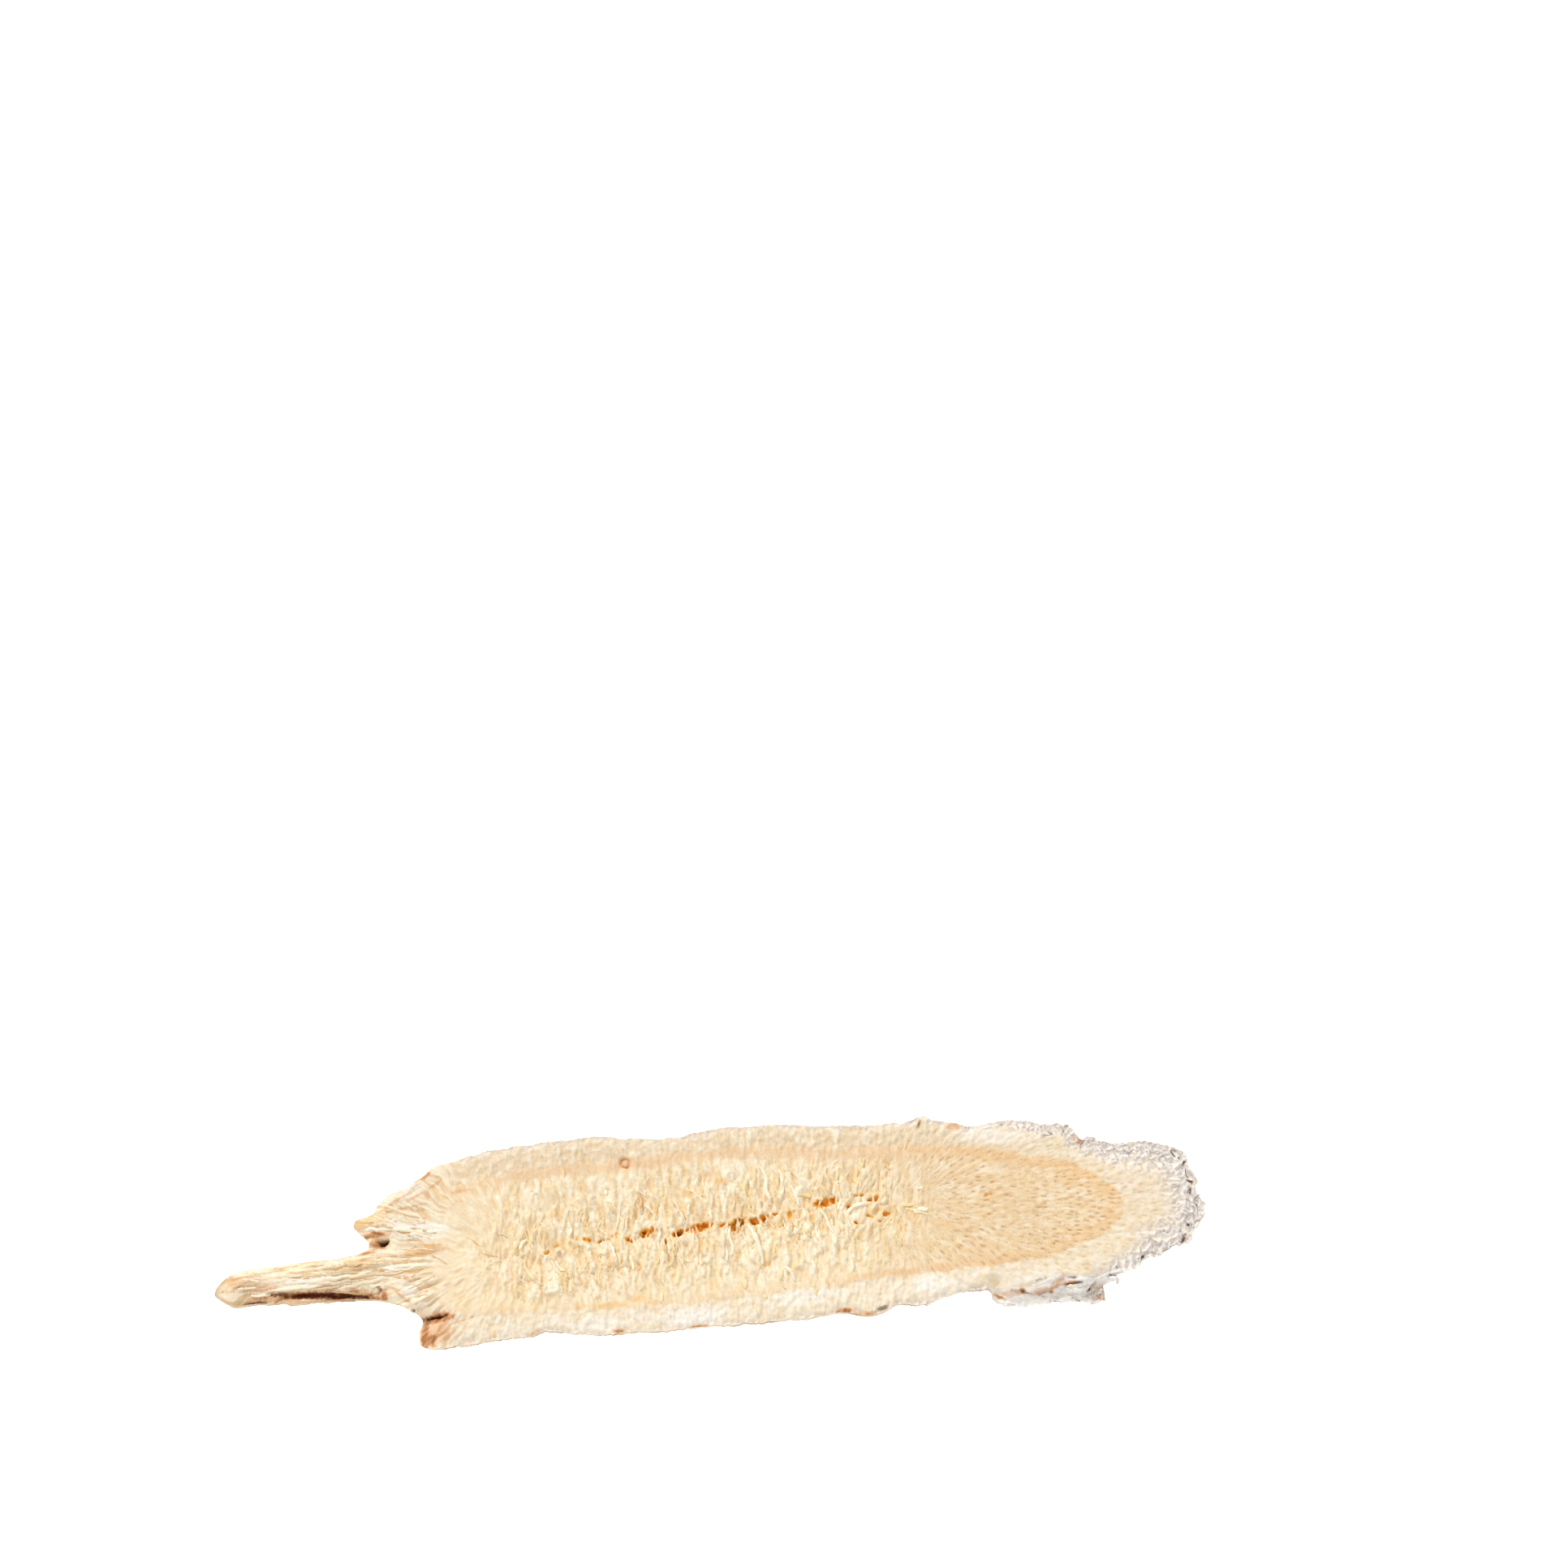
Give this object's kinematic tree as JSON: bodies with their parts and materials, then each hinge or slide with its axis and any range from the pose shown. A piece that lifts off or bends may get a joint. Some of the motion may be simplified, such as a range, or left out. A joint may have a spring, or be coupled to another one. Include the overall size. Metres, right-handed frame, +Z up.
{
  "type": "astragalus root slice",
  "caption": "Dried slantwise slice of astragalus root: pale fibrous wood in a thin cork rim, with a torn heart crack and a thin rootlet at one end.",
  "frame": {"origin": "middle of the slice's outline, on the surface that it lies on", "axes": "+X along the slice towards its blunt end, +Y across it, +Z up out of the upper cut face"},
  "size_m": [0.0982, 0.0208, 0.0042],
  "materials": {
    "dried_root": "dry, matt, fibrous cut face, paler and greyer towards the cork rim"
  },
  "bodies": {
    "root": {"root_slice": "dried_root"}
  },
  "joints": []
}
